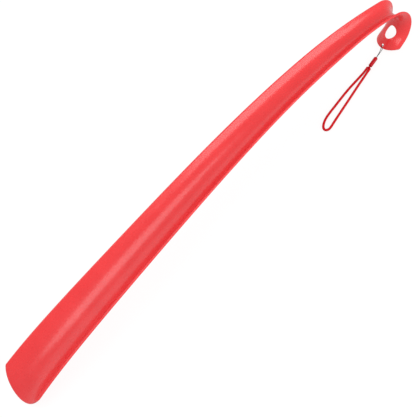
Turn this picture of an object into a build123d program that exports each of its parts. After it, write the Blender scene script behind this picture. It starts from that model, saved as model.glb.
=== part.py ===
"""Long shoehorn with a lanyard, lying on its back on a table. Millimetres, +Z up.

The blade points to -X and the hook to +X. The hollow side of the channel faces up, and the
part rests on the back of the blade's tip and on the rims of the turned-back tab. The origin
is under the middle of the moulding, on the table.
"""
import os
from math import acos, cos, pi, radians, sin, tan

from build123d import *

# --- driving dimensions: the moulding ---
wall = 2.4                      # thickness of the moulded channel
blade_width = 57.5              # across the rims at the blade's end
neck_width = 26.0               # across the rims where the shaft meets the hook
hook_width = 29.6               # across the rims of the turned-back tab
taper = 1.1                     # above 1, the width falls faster near the blade
blade_depth = 12.5              # rims above the middle of the floor, at the blade
neck_depth = 8.5
hook_depth = 11.0
tip_length = 33.0               # length of the blade's rounded end

# Side view of the shaft's floor line: the tip, then points towards the hook
shaft_line = [(0, 0), (84, 26), (228, 51.7), (403, 71.3), (520, 65), (576, 51)]
tip_slope = 27.0                # degrees that the floor rises at the very tip
neck_slope = -18.5              # degrees that it falls where the hook starts
hook_radius = 19.8              # of the floor line round the hook
hook_turn = 125.0               # degrees
tab_length = 23.0               # straight tab after the hook's bend
tab_round = 14.0                # length of its rounded end
end_trim = 1.0                  # cut off both ends of the channel before rounding

hole_from_end = 21.6            # hanging hole's centre, from the end of the tab
hole_length = 15.8
hole_width = 13.0
eyelet_from_end = 4.6
eyelet_radius = 1.6
tip_rim_round = 0.9             # rounding of the blade's cut edge
tab_rim_round = 0.3             # and of the tab's
hole_rim_round = 0.5

# Placing of the side view on the table
rest_x = -300.7
rest_z = 0.36

shaft_stations = 9
hook_stations = 7
tip_cut = 40.0                  # half heights of the cutters that shape the two ends
tab_cut = 17.0
hole_cut = 6.0

# --- driving dimensions: the lanyard, which lies on the table under the shaft ---
thread_diameter = 0.6
cord_diameter = 2.9
barrel_head = (250.2, -3.5, 2.3)
barrel_heading = 190.5          # degrees from +X, seen from above, away from the tab
barrel_radius = 2.25
barrel_length = 13.4
barrel_head_round = 1.8
barrel_tail_round = 0.5
socket_radius = 1.6             # the hole in the barrel's tail, in which the crimp tilts
socket_depth = 1.8
pivot_depth = 0.5               # the crimp's ball end, from the barrel's tail
neck_radius = 0.95
neck_end = 0.9                  # past the barrel's tail, where the crimp starts to widen
crimp_end = 3.4
crimp_half_width = 3.1
crimp_half_height = 1.65

# The thin thread: out of the barrel, over the tab's end, down through the eyelet and back
thread_route = [
    (249.1, -3.7, 2.7), (251.4, -3.2, 2.7), (253.6, -2.8, 2.8), (257.0, -1.9, 3.2),
    (260.4, -1.0, 4.1), (262.6, -0.4, 6.8), (265.0, 0.0, 6.7), (266.4, 0.1, 4.7),
    (266.0, 0.0, 2.7), (263.5, -0.3, 1.1), (260.1, -1.2, 1.1), (256.8, -2.0, 1.4),
    (253.6, -2.7, 1.8), (251.4, -3.2, 1.9), (249.1, -3.7, 1.9),
]

# The cord: out of the crimp, down the loop's left side, round its tight end and back
cord_route = [
    (234.0, -5.0, 2.3), (230.4, -5.6, 2.2), (224.5, -6.2, 1.7), (213.5, -6.8, 1.5),
    (200.0, -7.6, 1.5), (186.0, -9.4, 1.5), (172.5, -11.5, 1.5), (161.0, -13.1, 1.5),
    (153.0, -15.2, 1.5), (147.6, -18.0, 1.5), (144.3, -21.0, 1.5), (143.3, -24.5, 1.5),
    (146.2, -27.2, 1.5), (150.6, -26.9, 1.5), (156.0, -25.5, 1.5), (166.0, -23.1, 1.5),
    (180.5, -19.8, 1.5), (196.0, -16.2, 1.5), (210.0, -12.9, 1.5), (221.5, -10.5, 1.7),
    (229.7, -8.9, 2.2), (234.5, -7.95, 2.3),
]


def channel_section(plane, width, depth):
    """One cross-section of the channel: two arcs and two rounded rims."""
    middle_r = (width**2 / 4 + depth**2) / (2 * depth)
    half_angle = acos((middle_r - depth) / middle_r)
    rim_angle = half_angle + wall / 2 / middle_r

    def at(radius, angle):
        return (radius * sin(angle), middle_r - radius * cos(angle))

    outer = middle_r + wall / 2
    inner = middle_r - wall / 2
    with BuildSketch(plane) as section:
        with BuildLine():
            ThreePointArc(at(outer, -half_angle), at(outer, 0), at(outer, half_angle))
            ThreePointArc(at(outer, half_angle), at(middle_r, rim_angle), at(inner, half_angle))
            ThreePointArc(at(inner, half_angle), at(inner, 0), at(inner, -half_angle))
            ThreePointArc(at(inner, -half_angle), at(middle_r, -rim_angle), at(outer, -half_angle))
        make_face()
    return section.sketch


def between(start, end, share):
    return start + (end - start) * share


def section_plane(point, tangent):
    """A plane across the floor line, with the channel's hollow on its +y side."""
    return Plane(origin=point, x_dir=(0, 1, 0), z_dir=tangent)


def along_plane(point, tangent):
    """A plane lying on the floor, +x along the floor line, +z towards the hollow side."""
    return Plane(origin=point, x_dir=tangent, z_dir=tangent.cross(Vector(0, 1, 0)))


with BuildLine(Plane.XZ) as floor_line:
    shaft_curve = Spline(
        *[(x + rest_x, z + rest_z) for x, z in shaft_line],
        tangents=[
            (cos(radians(tip_slope)), sin(radians(tip_slope))),
            (cos(radians(neck_slope)), sin(radians(neck_slope))),
        ],
    )
    hook_curve = JernArc(
        start=shaft_curve @ 1,
        tangent=shaft_curve % 1,
        radius=hook_radius,
        arc_size=-hook_turn,
    )
    tab_curve = Line(hook_curve @ 1, hook_curve @ 1 + (hook_curve % 1) * tab_length)

shaft_edge, hook_edge, tab_edge = (curve.edge() for curve in (shaft_curve, hook_curve, tab_curve))

# --- the moulding: blade, shaft, hook and tab in one piece ---
sections = []
for i in range(shaft_stations):
    share = i / (shaft_stations - 1)
    sections.append(
        channel_section(
            section_plane(shaft_edge @ share, shaft_edge % share),
            neck_width + (blade_width - neck_width) * (1 - share) ** taper,
            between(blade_depth, neck_depth, share),
        )
    )
for i in range(1, hook_stations + 1):
    share = i / hook_stations
    sections.append(
        channel_section(
            section_plane(hook_edge @ share, hook_edge % share),
            between(neck_width, hook_width, share),
            between(neck_depth, hook_depth, share),
        )
    )
sections.append(
    channel_section(section_plane(tab_edge @ 1, tab_edge % 1), hook_width, hook_depth)
)

# What is cut away past a rounded end, as seen square to the floor
def end_waste(plane, round_length, width):
    """A bar across the channel with a half ellipse taken out of it, which the end keeps."""
    bar_length = 2 * round_length
    with BuildSketch(plane) as waste:
        with Locations((end_trim + round_length - bar_length / 2, 0)):
            Rectangle(bar_length, 2 * width)
        with Locations((end_trim + round_length, 0)):
            Ellipse(round_length, width / 2 + wall, mode=Mode.SUBTRACT)
    return waste.sketch


def is_end_rim(edge):
    """The edges round a cut end, not the long ones that run down the channel."""
    return edge.length < tip_length + tab_length


def is_hole_rim(edge):
    """The edges round a hole, not its seams, which run through the wall."""
    return edge.length > wall + hole_rim_round


tip_plane = along_plane(shaft_edge @ 0, shaft_edge % 0)
tab_plane = along_plane(tab_edge @ 1, -(tab_edge % 1))
tip_waste = end_waste(tip_plane, tip_length, blade_width)
tab_waste = end_waste(tab_plane, tab_round, hook_width)

with BuildSketch(tab_plane) as tab_holes:
    with Locations((hole_from_end, 0)):
        Ellipse(hole_length / 2, hole_width / 2)
    with Locations((eyelet_from_end, 0)):
        Circle(eyelet_radius)

with BuildPart() as shoehorn:
    loft(sections)
    extrude(tip_waste, amount=tip_cut, both=True, mode=Mode.SUBTRACT)
    fillet(shoehorn.edges(Select.LAST).filter_by(is_end_rim), tip_rim_round)
    extrude(tab_waste, amount=tab_cut, both=True, mode=Mode.SUBTRACT)
    fillet(shoehorn.edges(Select.LAST).filter_by(is_end_rim), tab_rim_round)
    extrude(tab_holes.sketch, amount=hole_cut, both=True, mode=Mode.SUBTRACT)
    fillet(shoehorn.edges(Select.LAST).filter_by(is_hole_rim), hole_rim_round)

# --- the lanyard's barrel and the crimp that joins the cord's two ends to it ---
head_plane = Plane(
    origin=barrel_head,
    x_dir=(0, 0, 1),
    z_dir=(cos(radians(barrel_heading)), sin(radians(barrel_heading)), 0),
)
along_lanyard = Axis(barrel_head, head_plane.z_dir)

with BuildPart() as lanyard_barrel:
    with BuildSketch(head_plane):
        Circle(barrel_radius)
    extrude(amount=barrel_length)
    ends = lanyard_barrel.faces().sort_by(along_lanyard)
    fillet(ends[0].edges(), barrel_head_round)
    fillet(ends[-1].edges(), barrel_tail_round)
    with BuildSketch(head_plane.offset(barrel_length)):
        Circle(socket_radius)
    extrude(amount=-socket_depth, mode=Mode.SUBTRACT)

with BuildPart() as cord_crimp:
    with Locations(head_plane.offset(barrel_length - pivot_depth)):
        Sphere(neck_radius)
    with BuildSketch(head_plane.offset(barrel_length - pivot_depth)):
        Circle(neck_radius)
    extrude(amount=pivot_depth + neck_end)
    with BuildSketch(head_plane.offset(barrel_length + neck_end)):
        Circle(neck_radius)
    with BuildSketch(head_plane.offset(barrel_length + crimp_end)):
        Ellipse(crimp_half_height, crimp_half_width)
    loft()


# --- the thread and the cord ---
def bend_radii(route):
    """The largest arcs that the runs on both sides of each corner have room for."""
    points = [Vector(*point) for point in route]
    radii = []
    for before, corner, after in zip(points, points[1:], points[2:]):
        half_turn = radians((corner - before).get_angle(after - corner)) / 2
        shorter = min((corner - before).length, (after - corner).length)
        radii.append(0.45 * shorter / tan(half_turn))
    return radii


def tube(name, route, diameter):
    """A round tube along straight runs joined by tangent arcs."""
    radii = bend_radii(route)
    with BuildPart() as run:
        with BuildLine() as path:
            FilletPolyline(*route, radius=radii)
        with BuildSketch(Plane(origin=path.wire() @ 0, z_dir=path.wire() % 0)):
            Circle(diameter / 2)
        sweep()
    length = path.wire().length
    expected = pi * diameter**2 / 4 * length
    print(f"{name}: {length:.1f} mm long, bend radii {[round(r, 1) for r in radii]}")
    print(f"{name}: volume {run.part.volume:.2f}, section times length {expected:.2f}")
    return run


eyelet_thread = tube("eyelet_thread", thread_route, thread_diameter)
hand_loop_cord = tube("hand_loop_cord", cord_route, cord_diameter)

os.makedirs("parts", exist_ok=True)

shoehorn.part.label = "shoehorn"
export_step(shoehorn.part, "parts/shoehorn.step")

eyelet_thread.part.label = "eyelet_thread"
export_step(eyelet_thread.part, "parts/eyelet_thread.step")

lanyard_barrel.part.label = "lanyard_barrel"
export_step(lanyard_barrel.part, "parts/lanyard_barrel.step")

cord_crimp.part.label = "cord_crimp"
export_step(cord_crimp.part, "parts/cord_crimp.step")

hand_loop_cord.part.label = "hand_loop_cord"
export_step(hand_loop_cord.part, "parts/hand_loop_cord.step")
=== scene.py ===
"""Looks for the long shoehorn: glossy red moulding, braided hand loop, thread and barrel.

Everything is in metres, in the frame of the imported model: +X from the blade to the hook, +Z up.
"""
import math

import bmesh
import bpy
import numpy as np
from mathutils import Matrix, Vector


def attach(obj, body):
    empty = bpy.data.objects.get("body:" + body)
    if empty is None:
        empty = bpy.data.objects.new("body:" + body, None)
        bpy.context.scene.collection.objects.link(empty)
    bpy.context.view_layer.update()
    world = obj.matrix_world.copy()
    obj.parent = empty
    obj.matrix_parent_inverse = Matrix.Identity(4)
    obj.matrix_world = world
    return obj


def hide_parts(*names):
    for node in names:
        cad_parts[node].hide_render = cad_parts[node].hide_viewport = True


# --- the view ---
CAMERA_PLACE = Vector((-0.2587, -0.6303, 1.1501))
CAMERA_AIM = Vector((-0.0215, -0.0216, 0.05))
CAMERA_ROLL = math.radians(-25.24)
CAMERA_LENS = 104.1

# --- the stage ---
FLOOR_SIZE = 30.0
FLOOR_DROP = 0.0002             # how far the floor lies under the part, so that they don't share a face
FLOOR_GLOW = 0.90
WORLD_STRENGTH = 0.68

# --- the moulding ---
MERGE_DISTANCE = 0.00002

# --- the lanyard, as in the solids ---
THREAD_DIAMETER = 0.0006
CORD_DIAMETER = 0.0029

THREAD_ROUTE = [
    (0.2491, -0.0037, 0.0027), (0.2514, -0.0032, 0.0027), (0.2536, -0.0028, 0.0028),
    (0.2570, -0.0019, 0.0032), (0.2604, -0.0010, 0.0041), (0.2626, -0.0004, 0.0068),
    (0.2650, 0.0000, 0.0067), (0.2664, 0.0001, 0.0047), (0.2660, 0.0000, 0.0027),
    (0.2635, -0.0003, 0.0011), (0.2601, -0.0012, 0.0011), (0.2568, -0.0020, 0.0014),
    (0.2536, -0.0027, 0.0018), (0.2514, -0.0032, 0.0019), (0.2491, -0.0037, 0.0019),
]

CORD_ROUTE = [
    (0.2340, -0.0050, 0.0023), (0.2304, -0.0056, 0.0022), (0.2245, -0.0062, 0.0017),
    (0.2135, -0.0068, 0.0015), (0.2000, -0.0076, 0.0015), (0.1860, -0.0094, 0.0015),
    (0.1725, -0.0115, 0.0015), (0.1610, -0.0131, 0.0015), (0.1530, -0.0152, 0.0015),
    (0.1476, -0.0180, 0.0015), (0.1443, -0.0210, 0.0015), (0.1433, -0.0245, 0.0015),
    (0.1462, -0.0272, 0.0015), (0.1506, -0.0269, 0.0015), (0.1560, -0.0255, 0.0015),
    (0.1660, -0.0231, 0.0015), (0.1805, -0.0198, 0.0015), (0.1960, -0.0162, 0.0015),
    (0.2100, -0.0129, 0.0015), (0.2215, -0.0105, 0.0017), (0.2297, -0.0089, 0.0022),
    (0.2345, -0.00795, 0.0023),
]

# --- the surfaces of the thread and the cord ---
THREAD_STEP = 0.00008           # between the tube's rings
THREAD_SIDES = 18
THREAD_PLIES = 3
THREAD_PITCH = 0.0016           # in which a ply goes once round
THREAD_RELIEF = 0.00007
CORD_STEP = 0.00015
CORD_SIDES = 32
BRAID_STRANDS = 8
BRAID_PITCH = 0.009
BRAID_RELIEF = 0.0001
BRAID_SINK = 0.00005            # the tube lies this far inside the cord, and the strands stand out of it


# --- materials ---
NOISE_LOW = 0.3
NOISE_HIGH = 0.7


def new_material(name):
    """A material with its nodes, and the shader that its other nodes feed."""
    material = bpy.data.materials.new(name)
    material.use_nodes = True
    return material, material.node_tree, material.node_tree.nodes["Principled BSDF"]


def add_node(tree, kind, **inputs):
    """A node with its inputs set by name; an underscore stands for a space."""
    node = tree.nodes.new(kind)
    for name, value in inputs.items():
        node.inputs[name.replace("_", " ")].default_value = value
    return node


def noise(tree, scale, detail=3.0, roughness=0.5):
    """Noise in the object's own metres."""
    place = tree.nodes.new("ShaderNodeTexCoord")
    node = add_node(tree, "ShaderNodeTexNoise", Scale=scale, Detail=detail, Roughness=roughness)
    tree.links.new(place.outputs["Object"], node.inputs["Vector"])
    return node


def ramp(tree, source, low_value, high_value):
    """Maps a noise, whose values lie mostly between 0.3 and 0.7, onto two colours or two greys."""
    node = tree.nodes.new("ShaderNodeValToRGB")
    node.color_ramp.elements[0].position = NOISE_LOW
    node.color_ramp.elements[1].position = NOISE_HIGH
    node.color_ramp.elements[0].color = low_value
    node.color_ramp.elements[1].color = high_value
    tree.links.new(source, node.inputs["Fac"])
    return node


def grey(value):
    return (value, value, value, 1.0)


def bump(tree, height, distance, strength=1.0, normal=None):
    """A bump that is distance metres high, on top of another one if normal is given."""
    node = add_node(tree, "ShaderNodeBump", Strength=strength, Distance=distance)
    tree.links.new(height, node.inputs["Height"])
    if normal is not None:
        tree.links.new(normal, node.inputs["Normal"])
    return node


def red_plastic():
    """Glossy moulded plastic: faint flow marks in the colour, a slight waviness in the shine."""
    material, tree, shader = new_material("red_plastic")
    flow = noise(tree, 38.0, detail=4.0)
    colour = ramp(tree, flow.outputs["Fac"], (0.80, 0.025, 0.029, 1), (0.85, 0.033, 0.037, 1))
    tree.links.new(colour.outputs["Color"], shader.inputs["Base Color"])
    gloss = noise(tree, 160.0, detail=5.0)
    roughness = ramp(tree, gloss.outputs["Fac"], grey(0.24), grey(0.32))
    tree.links.new(roughness.outputs["Color"], shader.inputs["Roughness"])
    waves = noise(tree, 45.0, detail=1.0)
    grain = noise(tree, 2600.0, detail=2.0)
    coarse = bump(tree, waves.outputs["Fac"], 0.0002, 0.25)
    fine = bump(tree, grain.outputs["Fac"], 0.00001, 0.3, coarse.outputs["Normal"])
    tree.links.new(fine.outputs["Normal"], shader.inputs["Normal"])
    shader.inputs["IOR"].default_value = 1.5
    shader.inputs["Coat Weight"].default_value = 0.25
    shader.inputs["Coat Roughness"].default_value = 0.12
    return material


def dark_red_plastic():
    """The barrel and the crimp: deep red, a little scuffed."""
    material, tree, shader = new_material("dark_red_plastic")
    scuffs = noise(tree, 900.0, detail=4.0)
    colour = ramp(tree, scuffs.outputs["Fac"], (0.42, 0.002, 0.008, 1), (0.55, 0.004, 0.014, 1))
    tree.links.new(colour.outputs["Color"], shader.inputs["Base Color"])
    roughness = ramp(tree, scuffs.outputs["Fac"], grey(0.22), grey(0.34))
    shader.inputs["Specular IOR Level"].default_value = 0.2
    tree.links.new(roughness.outputs["Color"], shader.inputs["Roughness"])
    fine = bump(tree, scuffs.outputs["Fac"], 0.00003, 0.4)
    tree.links.new(fine.outputs["Normal"], shader.inputs["Normal"])
    return material


def textile(name, dark, light, fibre_scale):
    """A cord's fibres: colour and shine vary finely, with a soft sheen."""
    material, tree, shader = new_material(name)
    fibres = noise(tree, fibre_scale, detail=4.0)
    colour = ramp(tree, fibres.outputs["Fac"], dark, light)
    tree.links.new(colour.outputs["Color"], shader.inputs["Base Color"])
    fine = bump(tree, fibres.outputs["Fac"], 0.00004, 0.5)
    tree.links.new(fine.outputs["Normal"], shader.inputs["Normal"])
    shader.inputs["Roughness"].default_value = 0.6
    shader.inputs["Specular IOR Level"].default_value = 0.15
    shader.inputs["Sheen Weight"].default_value = 0.03
    return material


def floor_paper():
    """White studio paper, which glows a little so that it washes out."""
    material, tree, shader = new_material("floor_paper")
    mottle = noise(tree, 4.0)
    colour = ramp(tree, mottle.outputs["Fac"], grey(0.11), grey(0.13))
    tree.links.new(colour.outputs["Color"], shader.inputs["Base Color"])
    shader.inputs["Roughness"].default_value = 0.9
    shader.inputs["Specular IOR Level"].default_value = 0.1
    shader.inputs["Emission Color"].default_value = grey(1.0)
    shader.inputs["Emission Strength"].default_value = FLOOR_GLOW
    return material


# --- the cords ---
def nurbs_curve(name, route):
    """A smooth curve with the route's points as its control points."""
    data = bpy.data.curves.new(name, "CURVE")
    data.dimensions = "3D"
    data.resolution_u = 24
    spline = data.splines.new("NURBS")
    spline.points.add(len(route) - 1)
    for point, place in zip(spline.points, route):
        point.co = (*place, 1.0)
    spline.order_u = 3
    spline.use_endpoint_u = True
    curve = bpy.data.objects.new(name, data)
    bpy.context.scene.collection.objects.link(curve)
    return curve


def line_of(curve):
    """The points along a curve that has no thickness, as an array."""
    mesh = bpy.data.meshes.new_from_object(curve)
    points = np.array([vertex.co for vertex in mesh.vertices])
    bpy.data.meshes.remove(mesh)
    return points


def evenly(points, step):
    """The same line, with its points an even step apart."""
    gaps = np.linalg.norm(np.diff(points, axis=0), axis=1)
    along = np.concatenate([[0.0], np.cumsum(gaps)])
    places = np.linspace(0.0, along[-1], int(along[-1] / step) + 1)
    return np.stack([np.interp(places, along, points[:, axis]) for axis in range(3)], axis=1)


def textured_tube(name, route, radius, step, around, relief):
    """A closed tube along the route; relief(angle, distance) is its surface's height."""
    curve = nurbs_curve(name + "_line", route)
    line = evenly(line_of(curve), step)
    bpy.data.objects.remove(curve)
    tangents = np.gradient(line, axis=0)
    tangents /= np.linalg.norm(tangents, axis=1)[:, None]
    side = np.cross(tangents[0], (0.0, 0.0, 1.0))
    vertices = []
    for index, (centre, tangent) in enumerate(zip(line, tangents)):
        side = side - tangent * side.dot(tangent)
        side /= np.linalg.norm(side)
        up = np.cross(tangent, side)
        for turn in range(around):
            angle = 2 * math.pi * turn / around
            reach = radius + relief(angle, index * step)
            vertices.append(centre + reach * (math.cos(angle) * side + math.sin(angle) * up))
    rings = len(line)
    faces = [
        (ring * around + turn, ring * around + (turn + 1) % around,
         (ring + 1) * around + (turn + 1) % around, (ring + 1) * around + turn)
        for ring in range(rings - 1)
        for turn in range(around)
    ]
    faces.append(tuple(reversed(range(around))))
    faces.append(tuple(range((rings - 1) * around, rings * around)))
    mesh = bpy.data.meshes.new(name)
    mesh.from_pydata([tuple(vertex) for vertex in vertices], [], faces)
    mesh.validate()
    mesh.shade_smooth()
    tube = bpy.data.objects.new(name, mesh)
    bpy.context.scene.collection.objects.link(tube)
    return tube, [tuple(point) for point in line]


def braid(height, strands, pitch):
    """The relief of strands wound both ways, over and under each other."""
    def relief(angle, distance):
        left = strands / 2 * angle + 2 * math.pi * strands / 2 * distance / pitch
        right = strands / 2 * angle - 2 * math.pi * strands / 2 * distance / pitch
        return height * math.cos(left) * math.cos(right)
    return relief


def twist(height, plies, pitch):
    """The relief of plies wound one way."""
    def relief(angle, distance):
        return height * (abs(math.cos(plies / 2 * angle + math.pi * plies * distance / pitch)) - 0.5)
    return relief


def make_cords(thread_material, cord_material):
    """The thread and the hand loop, in place of their plain solids."""
    thread, thread_line = textured_tube(
        "thread", THREAD_ROUTE, THREAD_DIAMETER / 2, THREAD_STEP, THREAD_SIDES,
        twist(THREAD_RELIEF, THREAD_PLIES, THREAD_PITCH),
    )
    thread.data.materials.append(thread_material)
    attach(thread, "lanyard_head")
    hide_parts("eyelet_thread")

    loop, loop_line = textured_tube(
        "hand_loop", CORD_ROUTE, CORD_DIAMETER / 2 - BRAID_SINK, CORD_STEP, CORD_SIDES,
        braid(BRAID_RELIEF, BRAID_STRANDS, BRAID_PITCH),
    )
    loop.data.materials.append(cord_material)
    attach(loop, "hand_loop")
    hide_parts("hand_loop_cord")


# --- the stage ---
def make_floor():
    """A floor that the camera sees and the part doesn't, so that it adds no light to the underside."""
    bpy.ops.mesh.primitive_plane_add(size=FLOOR_SIZE, location=(0, 0, -FLOOR_DROP))
    floor = bpy.context.object
    floor.name = "floor"
    floor.data.materials.append(floor_paper())
    floor.visible_diffuse = False
    floor.visible_glossy = False


def make_light(name, place, size, power, aim=None, turn=0.0):
    """A soft box that points at aim, or straight down and turned about +Z."""
    data = bpy.data.lights.new(name, "AREA")
    data.shape = "RECTANGLE"
    data.size, data.size_y = size
    data.energy = power
    light = bpy.data.objects.new(name, data)
    light.location = place
    light.rotation_euler = (0.0, 0.0, turn)
    if aim is not None:
        light.rotation_euler = (Vector(aim) - Vector(place)).to_track_quat("-Z", "Y").to_euler()
    bpy.context.scene.collection.objects.link(light)


def make_lights():
    scene = bpy.context.scene
    world = bpy.data.worlds.new("studio")
    world.use_nodes = True
    world.node_tree.nodes["Background"].inputs["Color"].default_value = grey(1.0)
    world.node_tree.nodes["Background"].inputs["Strength"].default_value = WORLD_STRENGTH
    scene.world = world
    scene.view_settings.view_transform = "Standard"
    # the streak down the middle of the lower shaft
    make_light("overhead", place=(-0.50, 0.07, 1.5), size=(1.1, 0.6), power=4.9, turn=math.radians(-38.0))
    # the shaft's wall on the camera's side, without a streak of its own
    make_light("far_fill", place=(0.1, 2.0, 1.1), size=(3.2, 1.8), power=8.5, aim=(0.0, 0.0, 0.05))
    # the wide stripe along the far wall of the upper shaft
    make_light("side_panel", place=(0.64, -1.30, 0.75), size=(1.4, 1.1), power=13.5, aim=(0.12, 0.0, 0.05))


def make_camera():
    """The camera, rolled about its own axis after it is aimed."""
    data = bpy.data.cameras.new("camera")
    data.sensor_width = 36.0
    data.lens = CAMERA_LENS
    data.clip_end = 20.0
    camera = bpy.data.objects.new("camera", data)
    back = CAMERA_PLACE - CAMERA_AIM
    turn = back.to_track_quat("Z", "Y").to_matrix().to_4x4() @ Matrix.Rotation(CAMERA_ROLL, 4, "Z")
    camera.matrix_world = Matrix.Translation(CAMERA_PLACE) @ turn
    bpy.context.scene.collection.objects.link(camera)
    bpy.context.scene.camera = camera


# --- the pieces that keep their shape ---
def smooth_moulding(material):
    """A copy of the moulding with its points merged, so that its curved faces shade smoothly."""
    mesh = bpy.data.meshes.new("moulded_shell")
    shell = bmesh.new()
    shell.from_mesh(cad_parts["shoehorn"].data)
    bmesh.ops.remove_doubles(shell, verts=shell.verts, dist=MERGE_DISTANCE)
    shell.to_mesh(mesh)
    shell.free()
    mesh.materials.clear()
    mesh.materials.append(material)
    mesh.shade_smooth()
    piece = bpy.data.objects.new("moulded_shell", mesh)
    bpy.context.scene.collection.objects.link(piece)
    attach(piece, "moulding")
    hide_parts("shoehorn")


def paint(node, material):
    """Gives a CAD node a new material in place of its own."""
    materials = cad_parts[node].data.materials
    materials.clear()
    materials.append(material)


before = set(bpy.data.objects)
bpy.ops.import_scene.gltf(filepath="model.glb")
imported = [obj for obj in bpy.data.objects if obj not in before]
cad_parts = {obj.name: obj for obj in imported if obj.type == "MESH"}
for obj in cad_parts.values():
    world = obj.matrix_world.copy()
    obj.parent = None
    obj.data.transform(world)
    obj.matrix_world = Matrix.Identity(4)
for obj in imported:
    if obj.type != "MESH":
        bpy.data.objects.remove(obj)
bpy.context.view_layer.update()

make_camera()
make_floor()
make_lights()

smooth_moulding(red_plastic())
barrel_red = dark_red_plastic()
paint("lanyard_barrel", barrel_red)
paint("cord_crimp", barrel_red)
make_cords(
    textile("dark_thread", (0.008, 0.002, 0.002, 1), (0.020, 0.006, 0.006, 1), 9000.0),
    textile("red_cord", (0.46, 0.001, 0.004, 1), (0.70, 0.003, 0.010, 1), 4000.0),
)
